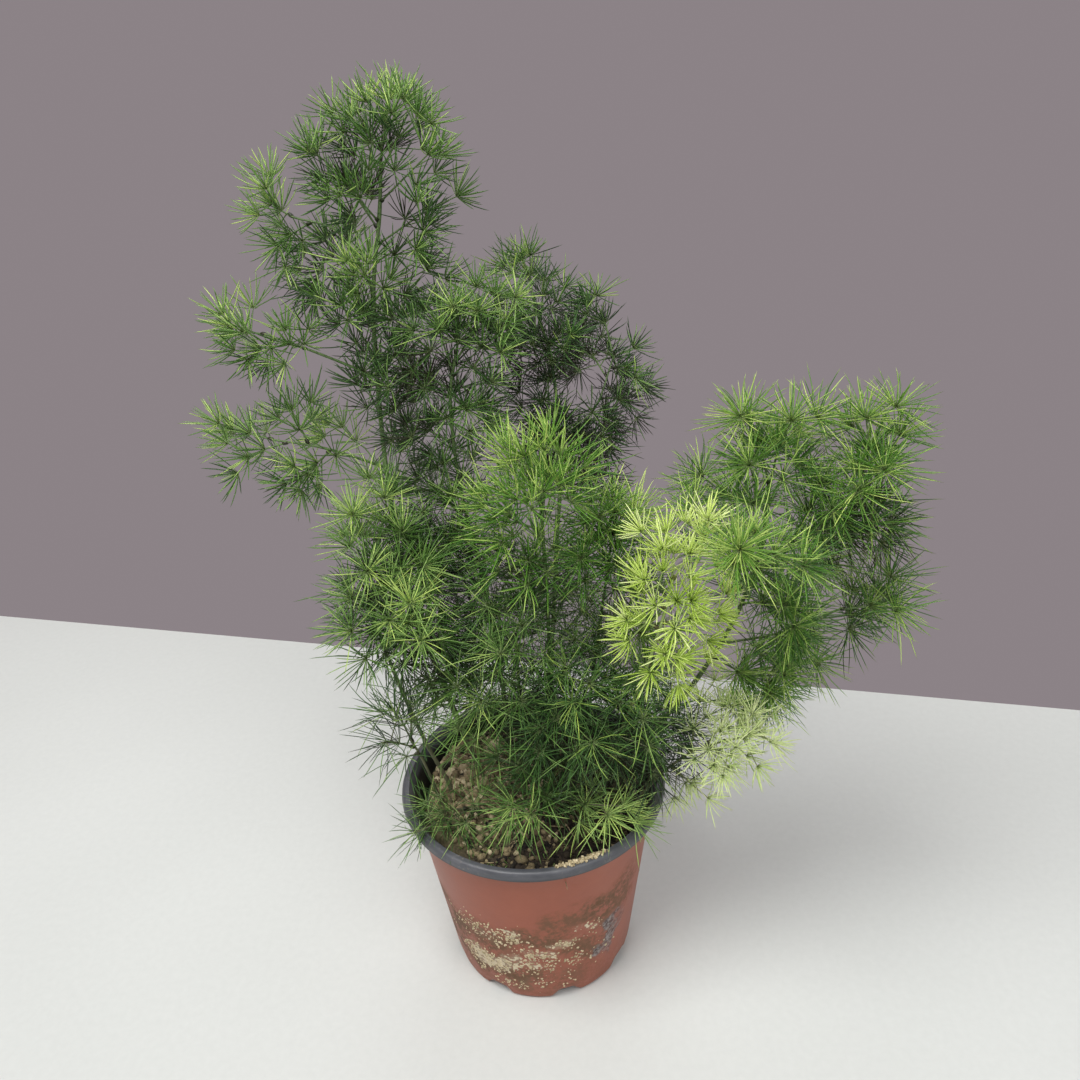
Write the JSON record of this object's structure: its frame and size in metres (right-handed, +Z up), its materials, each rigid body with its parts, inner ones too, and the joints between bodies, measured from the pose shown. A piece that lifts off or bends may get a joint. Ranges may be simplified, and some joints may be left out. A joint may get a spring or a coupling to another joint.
{
  "type": "potted ming fern",
  "caption": "Needle-leaved asparagus in a nursery pot: leafy shoots with tufts of needles stand in the soil of a tapered plastic pot with a rim band and notched foot.",
  "frame": {"origin": "centre of the pot's base, on the surface it stands on", "axes": "+Z up along the pot's axis, -Y towards the picture's camera, +X to the picture's right"},
  "size_m": [0.3405, 0.2228, 0.4308],
  "materials": {
    "pot": "dull moulded terracotta plastic",
    "soil": "crumbly peat",
    "foliage_mid": "mid green stems and needles",
    "foliage_deep": "deep green stems and needles",
    "foliage_bright": "bright green stems and needles",
    "foliage_young": "yellow-green new growth",
    "foliage_pale": "pale green new growth"
  },
  "bodies": {
    "root": {"pot": "pot", "soil": "soil", "shoot_tall_left": "foliage_mid", "shoot_middle": "foliage_mid", "shoot_back": "foliage_deep", "shoot_left_bushy": "foliage_mid", "shoot_centre_bright": "foliage_bright", "shoot_right_arch": "foliage_bright", "shoot_young": "foliage_young", "shoot_centre_right": "foliage_bright", "shoot_low_right": "foliage_pale", "shoot_centre_left": "foliage_mid", "shoot_centre_low": "foliage_deep", "shoot_front_low": "foliage_mid", "shoot_left_dark": "foliage_deep", "shoot_left_low": "foliage_mid"}
  },
  "joints": []
}
